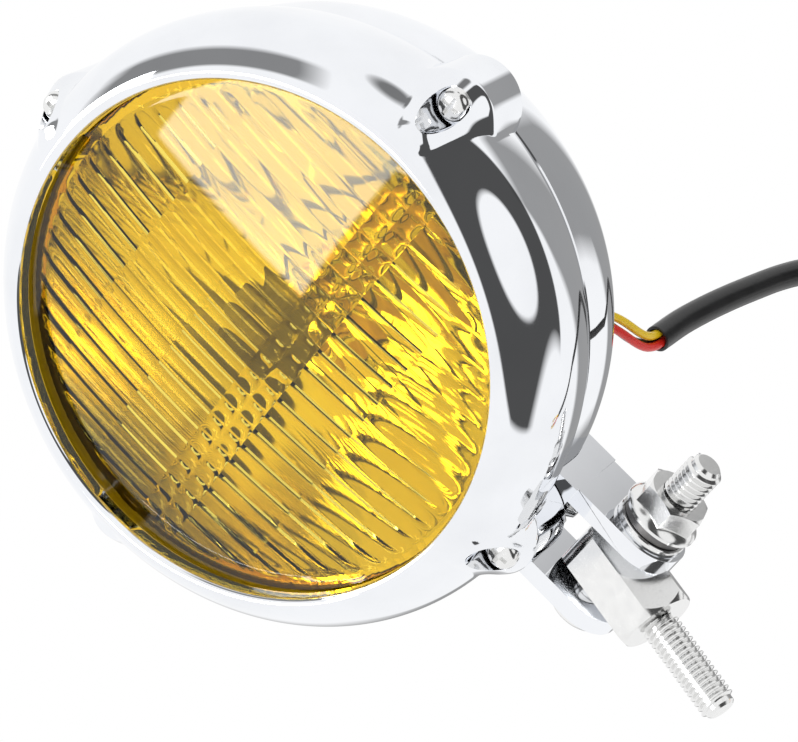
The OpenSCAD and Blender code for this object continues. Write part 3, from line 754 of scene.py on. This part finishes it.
# %% Lens: the pressed pattern
LENS_EDGE_R, LENS_FLANGE_R, LENS_T, LENS_DOME = 52.0, 58.0, 2.5, 6.0
PRESSED_R = 50.8
FLUTE_PITCH = 4.9
PATTERN_TOP = 60
ROW_STEP = 1.5          # the most between two of the block's grid lines
EDGE_NUDGE = 0.002      # keeps a row's first and last lines on its own side of the edge
# Each row of the pattern: its lower edge, the flutes' depth, and whether it is of square cells
LENS_ROWS = ((30, 0.75, False), (12, 0.5, False), (-3, 0.6, False), (-7.6, 0.75, True),
             (-12.2, 0.75, True), (-28, 0.8, False), (-60, 0.65, False))


def lens_front(r):
    return LENS_Y - LENS_DOME * (1 - (r / LENS_EDGE_R) ** 2)


def pressed(x, z, low, depth, cells, top):
    """How deep the back is pressed at a point of one row."""
    ridge = abs(cos(pi * x / FLUTE_PITCH))
    if cells:
        ridge *= sin(pi * min(1, max(0, (z - low) / (top - low)))) ** 0.5
    return depth * (1 - ridge)


# %% [markdown]
# Each vertex of the block's grid takes its depth from the row that it belongs to, and the pattern
# fades out at its rim. The grid is then extruded backwards, well past the lens.

# %% Lens: blank, block and cut
blank = [(LENS_EDGE_R * i / 40, lens_front(LENS_EDGE_R * i / 40)) for i in range(41)]
blank += [(LENS_FLANGE_R, LENS_Y), (LENS_FLANGE_R, LENS_Y + LENS_T), (0, LENS_Y + LENS_T)]
lens = spun(blank, 240, closed=False)
PER_FLUTE = 12
flute_count = ceil(PRESSED_R / FLUTE_PITCH) * 2
heights = []                    # every grid line's height, with the row it belongs to
tops = [PATTERN_TOP] + [row[0] for row in LENS_ROWS]
for row, (top, low) in enumerate(zip(tops, tops[1:])):
    count = max(6, ceil((top - low) / ROW_STEP))
    heights += [(top - (top - low) * min(max(i, EDGE_NUDGE), count - EDGE_NUDGE) / count, row)
                for i in range(count + 1)]
block = bmesh.new()
bmesh.ops.create_grid(block, x_segments=flute_count * PER_FLUTE, y_segments=len(heights) - 1, size=1)
for v in block.verts:
    x = v.co.x * flute_count * FLUTE_PITCH / 2
    z, row = heights[round((1 - v.co.y) / 2 * (len(heights) - 1))]
    r = sqrt(x * x + z * z)
    y = lens_front(min(r, LENS_EDGE_R)) + LENS_T + 0.02
    fade = min(1.0, max(0.0, PRESSED_R - r))
    y -= fade * pressed(x, z, *LENS_ROWS[row], tops[row])
    v.co = (x, y, z)
behind = bmesh.ops.extrude_face_region(block, geom=block.faces[:])["geom"]
for v in [g for g in behind if isinstance(g, bmesh.types.BMVert)]:
    v.co.y = 20
bmesh.ops.recalc_face_normals(block, faces=block.faces)
lens = carved(lens, block)
print("lens faces:", len(lens.faces), "open edges:", sum(e.is_boundary for e in lens.edges))
piece("lens_glass", lens, AMBER, "amber_glass", "head", "lens", crease=50)

# %% [markdown]
# ## Reflector and bulb
# The reflector is a paraboloid, so its outline is the curve y = apex - r² / 4f. The bulb sits at
# the focus behind a small shield, which is the dark spot seen in the middle of the lens.

# %% Reflector
MIRROR_Y, MIRROR_T, FOCAL = 8.2, 0.8, 20.0
NECK_R, MIRROR_RIM_R = 8.5, 58.3
APEX_Y = MIRROR_Y + LENS_EDGE_R ** 2 / (4 * FOCAL)


def mirror_face(r):
    return APEX_Y - r * r / (4 * FOCAL)


radii = [NECK_R + (LENS_EDGE_R - NECK_R) * i / 60 for i in range(61)]
dish = [(r, mirror_face(r)) for r in radii]
dish += [(MIRROR_RIM_R, MIRROR_Y), (MIRROR_RIM_R, MIRROR_Y + MIRROR_T)]
dish += [(r, mirror_face(r) + MIRROR_T) for r in radii[::-1]]
piece("reflector_dish", spun(dish, 200), MIRROR, "mirror", "head", "reflector")

# %% [markdown]
# What lies deep inside is hardly seen. Those parts keep their CAD shapes, and each gets the
# finish of its own material.

# %% Parts kept from CAD
finish_cad(SPRING, "bezel_lugs", "retaining_clips", "bulb_spring")
finish_cad(GASKET, "lens_gasket")
finish_cad(CLEAR, "bulb_glass")
finish_cad(DARK, "bulb_filament", "bulb_shield")
finish_cad(BRASS, "bulb_base")
finish_cad(ZINC, "bulb_holder", "bracket_backing", "bracket_rivets")
finish_cad(PLASTIC, "bulb_connector")
finish_cad(SLEEVING, "inner_sleeve")

# %% [markdown]
# ## Bracket
# The bracket is a thick chromed saddle with two ears. Each ear is a disc stretched upwards, the
# saddle is a box, and the bowl's own shape is cut from its top so that it sits on the sheet.

# %% Bracket
EAR_IN, EAR_T, EAR_R = 8.2, 4.0, 9.0
EAR_OUT = EAR_IN + EAR_T
BASE_BOTTOM, BASE_TOP, BASE_HALF_Y = 66.2, 58.0, 9.7
BOLT_R = 4.0


def along_pivot(bm):
    """Turns a shape drawn along +Z to lie along the pivot, +Z going to +X."""
    to_pivot = Matrix.Translation((0, PIVOT_BACK, -PIVOT_DROP))
    return turned(bm, to_pivot @ Matrix.Rotation(pi / 2, 4, "Y"))


def ear(x):
    bm = along_pivot(turned(rod(EAR_R, EAR_T, 96), Matrix.Translation((0, 0, x))))
    for v in bm.verts:
        if v.co.z > -PIVOT_DROP + 0.01:
            v.co.z += PIVOT_DROP - BASE_BOTTOM
    return bm


saddle = box_mm((-EAR_OUT, EAR_OUT), (PIVOT_BACK - BASE_HALF_Y, PIVOT_BACK + BASE_HALF_Y),
                (-BASE_BOTTOM, -BASE_TOP))
bracket = carved(saddle, ear(-EAR_OUT), ear(EAR_IN), operation="UNION")
bowl = spun([(0, 0), (BOWL_R + 0.05, 0)] + bowl_curve(-0.05), 180, closed=False)
bracket = carved(bracket, bowl, along_pivot(turned(rod(BOLT_R + 0.1, 40, 64),
                                                   Matrix.Translation((0, 0, -20)))))
bracket = piece("bracket_saddle", bracket, CHROME, "chrome", "head", "bracket", crease=40)
rounded = bracket.modifiers.new("rounded", "BEVEL")
rounded.width, rounded.segments, rounded.limit_method = 0.8 * MM, 3, "ANGLE"
rounded.angle_limit, rounded.harden_normals = radians(50), True

# %% [markdown]
# ## Threads
# A thread is a small V-shaped ridge that climbs as it turns. The spin operator can move as it
# turns, so a three-cornered outline, spun and lifted by the pitch, is a true helix. It is closed
# at both ends and wraps a plain core.


# %% Threads
PITCH = 1.25            # of an M8 thread


def thread(radius, pitch, length, steps=36):
    """A threaded rod along +Z from the origin: a core with a chamfered end, and its helix."""
    depth = 0.6 * pitch
    turns = (length - 1.6 * pitch) / pitch
    bm = bmesh.new()
    outline = [(radius - depth - 0.1, -0.42 * pitch), (radius, -0.06 * pitch), (radius, 0.06 * pitch),
               (radius - depth - 0.1, 0.42 * pitch)]
    verts = [bm.verts.new((r, 0, z + 0.7 * pitch)) for r, z in outline]
    edges = [bm.edges.new((a, b)) for a, b in zip(verts, verts[1:] + verts[:1])]
    count = ceil(turns * steps)
    bmesh.ops.spin(bm, geom=verts + edges, cent=(0, 0, 0), axis=(0, 0, 1), angle=2 * pi * turns,
                   steps=count, dvec=(0, 0, pitch * turns / count))
    bmesh.ops.holes_fill(bm, edges=[e for e in bm.edges if e.is_boundary])
    bmesh.ops.recalc_face_normals(bm, faces=bm.faces)
    return joined(bm, rod(radius - depth, length, steps, tip=0.6))


# %% [markdown]
# ## Pivot bolt, washers and nut
# The bolt's round head is on one side of the bracket. On the other side come a thin plain washer,
# a dark split washer, a flanged nut, and the end of the bolt standing out of it.

# %% Pivot bolt
WASHER_T, LOCK_T, NUT_H, PAST_NUT = 1.6, 2.4, 6.5, 10.0
NUT_X = EAR_OUT + WASHER_T + LOCK_T
HEAD_R, HEAD_H = 8.5, 4.5
dome_r = (HEAD_R ** 2 + HEAD_H ** 2) / (2 * HEAD_H)
arc = asin(HEAD_R / dome_r)
dome = [(dome_r * sin(arc * i / 16), dome_r - dome_r * cos(arc * i / 16)) for i in range(16)]
bolt_outline = dome + [(HEAD_R, HEAD_H - 0.25), (HEAD_R - 0.2, HEAD_H), (BOLT_R, HEAD_H),
                       (BOLT_R, HEAD_H + EAR_OUT + NUT_X - 1), (0, HEAD_H + EAR_OUT + NUT_X - 1)]
bolt = turned(spun(bolt_outline, 64, closed=False), Matrix.Rotation(pi / 2, 4, "X"))
bolt = turned(bolt, Matrix.Translation((0, 0, -EAR_OUT - HEAD_H)))
bolt_end = turned(thread(BOLT_R, PITCH, NUT_H + PAST_NUT + 1), Matrix.Translation((0, 0, NUT_X - 1)))
piece("pivot_bolt_domed", along_pivot(joined(bolt, bolt_end)), ZINC, "zinc_steel", "head",
      "pivot_bolt", crease=30)

# %% [markdown]
# The plain washer is a spun ring with softened edges. The split washer is a small square section
# that is spun not quite all the way round and lifted a little, so its two ends stand apart.

# %% Washers
washer = spun([(4.1, 0), (7.8, 0), (8, 0.2), (8, WASHER_T - 0.2), (7.8, WASHER_T), (4.1, WASHER_T)], 64)
washer = turned(washer, Matrix.Translation((0, 0, EAR_OUT)) @ Matrix.Rotation(pi / 2, 4, "X"))
piece("plain_washer", along_pivot(washer), ZINC, "zinc_steel", "head", "pivot_washer")

split = bmesh.new()
corners = [split.verts.new((r, 0, z)) for r, z in ((4.2, 0.1), (7.2, 0.1), (7.2, 2.15), (4.2, 2.15))]
split.faces.new(corners)
SPLIT_TURN, SPLIT_LIFT, SPLIT_STEPS = radians(348), 0.15, 64
bmesh.ops.spin(split, geom=split.faces[:] + split.edges[:] + split.verts[:], cent=(0, 0, 0),
               axis=(0, 0, 1), angle=SPLIT_TURN, steps=SPLIT_STEPS,
               dvec=(0, 0, SPLIT_LIFT / SPLIT_STEPS))
bmesh.ops.recalc_face_normals(split, faces=split.faces)
turned(split, Matrix.Translation((0, 0, EAR_OUT + WASHER_T)) @ Matrix.Rotation(radians(200), 4, "Z"))
piece("split_washer", along_pivot(split), DARK, "dark_metal", "head", "lock_washer")


# %% [markdown]
# A nut's corners are rounded off by a lathe, so the hexagon is kept only where it is inside a
# spun crown. The flange is joined on and the hole cut last.

# %% Nut
def hexagon(flats, height, turn):
    """A hexagonal bar along +Z from the origin, given its size across the flats."""
    bm = bmesh.new()
    bmesh.ops.create_cone(bm, cap_ends=True, segments=6, radius1=flats / sqrt(3),
                          radius2=flats / sqrt(3), depth=height)
    return turned(bm, Matrix.Rotation(turn, 4, "Z") @ Matrix.Translation((0, 0, height / 2)))


NUT_AF, FLANGE_R, FLANGE_T = 13.0, 8.4, 1.4
crown = spun([(0, 0), (9, 0), (9, NUT_H - 1.2), (6.6, NUT_H), (0, NUT_H)], 64, closed=False)
turned(crown, Matrix.Rotation(pi / 2, 4, "X"))
nut = carved(hexagon(NUT_AF, NUT_H, radians(12)), crown, operation="INTERSECT")
flange = spun([(0, 0), (FLANGE_R, 0), (FLANGE_R, 0.7), (FLANGE_R - 0.6, FLANGE_T), (6.4, 2.1),
               (0, 2.1)], 64, closed=False)
nut = carved(nut, turned(flange, Matrix.Rotation(pi / 2, 4, "X")), operation="UNION")
nut = carved(nut, turned(rod(BOLT_R + 0.05, 12, 64), Matrix.Translation((0, 0, -2))))
turned(nut, Matrix.Translation((0, 0, NUT_X)))
piece("flanged_nut", along_pivot(nut), ZINC, "zinc_steel", "head", "pivot_nut", crease=25)

# %% [markdown]
# ## Mounting stud
# The stud is hexagon bar with a round top about the pivot and a threaded lower end. The bar is
# cut by a cone at its shoulder, as a lathe chamfers it, and drilled across for the bolt.

# %% Mounting stud
STUD_AF, PIVOT_H = 16.0, PIVOT.z / MM
THREAD_R, THREAD_LEN = 4.0, 22.5
corner = STUD_AF / sqrt(3)
bar = hexagon(STUD_AF, PIVOT_H + corner + 1, radians(30))
shoulder = spun([(0, 0), (corner - 1.4, 0), (corner + 1, 3.2), (corner + 1, 40), (0, 40)], 96,
                closed=False)
top = turned(rod(corner - 0.02, 40, 128),
             Matrix.Translation((-20, 0, PIVOT_H)) @ Matrix.Rotation(pi / 2, 4, "Y"))
for v in top.verts:             # the round top reaches down over the straight bar
    if v.co.z < PIVOT_H - 0.01:
        v.co.z -= 20
bar = carved(bar, turned(shoulder, Matrix.Rotation(pi / 2, 4, "X")), top, operation="INTERSECT")
bar = carved(bar, turned(rod(BOLT_R + 0.05, 40, 96),
                         Matrix.Translation((-20, 0, PIVOT_H)) @ Matrix.Rotation(pi / 2, 4, "Y")))
shank = turned(thread(THREAD_R, PITCH, THREAD_LEN + 0.5),
               Matrix.Translation((0, 0, 0.5)) @ Matrix.Rotation(pi, 4, "X"))
piece("stud_bar", joined(bar, shank), ZINC, "zinc_steel", "stud", "mount_stud", matrix=ROW,
      crease=28)

# %% [markdown]
# ## Studio
# Chrome shows its surroundings, so the room matters as much as the lamp: a pale tent all round,
# one bright soft box, and dark strips that draw the edges. They are painted into the world by
# direction, where they light the lamp and never hide it.


# %% World
class Sky(Finish):
    """The same helpers on the world's tree."""

    def __init__(self, world):
        world.use_nodes = True
        self.tree = world.node_tree
        self.shader = self.tree.nodes["Background"]
        self.place = self.node("ShaderNodeTexCoord", output="Generated")

    def toward(self, direction):
        """How far a direction looks along the given one, from -1 to 1."""
        return self.node("ShaderNodeVectorMath", {"operation": "DOT_PRODUCT"},
                         (self.place, Vector(direction).normalized()), output="Value")


world = bpy.data.worlds.new("studio")
bpy.context.scene.world = world
bpy.context.scene.view_settings.view_transform = "Standard"     # keeps the white tent white
sky = Sky(world)
x, y, z = (sky.node("ShaderNodeSeparateXYZ", {}, [sky.place], output=i) for i in range(3))


def patch(turn, rise, width, edge=1.2):
    """1 within width degrees of a direction, turned from -Y towards +X and raised, else 0."""
    a, e = radians(turn), radians(rise)
    near = sky.toward((sin(a) * cos(e), -cos(a) * cos(e), sin(e)))
    return near.above(cos(radians(width + edge)), cos(radians(width - edge)))


# a big dark flag at the lamp's lower right, with a bright window in it and a light patch behind
flag = patch(95, -38, 47) * (1.0 - patch(93, -34, 19.5)) * (1.0 - patch(170, -55, 21, 3))
glow = 1.0 - 0.92 * flag
# a grey band along the horizon behind, an arch over the front and one small strip at the right
horizon = z.above(-0.16, -0.10) * (1.0 - z.above(0.26, 0.36)) * y.above(0.55, 0.75)
across_top = sky.toward((0.384, 0.832, 0.40)).math("ABSOLUTE")
arch = (1.0 - across_top.above(0.17, 0.24)) * patch(18, 57, 32, 5)
for strip, share in ((horizon, 0.66), (arch, 0.74), (patch(82, 23, 7, 2.5), 0.8)):
    glow = glow * (1.0 - share * strip)
# the soft box whose shape shows on the lens
box = (x.above(-0.395, -0.385) * (1.0 - x.above(-0.06, -0.04)) * z.above(-0.105, -0.095)
       * (1.0 - z.above(0.30, 0.31)) * (1.0 - y.above(-0.3, -0.2)))
glow = glow + 7.0 * box
seen = sky.node("ShaderNodeLightPath", output="Is Camera Ray")
sky.set("Strength", seen + (1.0 - seen) * glow)
sky.set("Color", (1, 1, 1, 1))

# %% [markdown]
# The floor lies well below the hanging lead. It catches soft shadows, and glossy rays pass it by.
# One lamp in front and above adds a soft key light.

# %% Floor and lamp
FLOOR_Z = -0.32
floor_bm = bmesh.new()
bmesh.ops.create_grid(floor_bm, x_segments=2, y_segments=2, size=3)
floor_mesh = mesh_of(floor_bm, Matrix.Translation((0, 0, FLOOR_Z)))
ground = bpy.data.objects.new("floor", floor_mesh)
bpy.context.scene.collection.objects.link(ground)
pale = Finish("pale_floor")
pale.set("Base Color", pale.colours(pale.noise(300), (0.86, 0.86, 0.86), (0.82, 0.82, 0.82)))
pale.set("Roughness", 0.6 + 0.1 * pale.noise(80))
ground.data.materials.append(pale.material)
ground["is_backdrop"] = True
ground.visible_glossy = False    # chrome shows the tent, not the floor

KEY_PLACE = Vector((-0.35, -0.7, 0.9))
key = bpy.data.objects.new("key", bpy.data.lights.new("key", "AREA"))
key.data.shape = "RECTANGLE"
key.data.size = key.data.size_y = 0.5
key.data.energy = 5
aim = (KEY_PLACE - on_head(0, 20, 0)).to_track_quat("Z", "Y")
key.matrix_world = Matrix.Translation(KEY_PLACE) @ aim.to_matrix().to_4x4()
bpy.context.scene.collection.objects.link(key)
print("floor at", FLOOR_Z, "lamp at", tuple(round(v, 2) for v in KEY_PLACE))

# %% [markdown]
# ## Size
# The box around every piece that is shown, the floor left out, is found last.

# %% Sizes
bpy.context.view_layer.update()
low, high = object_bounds()
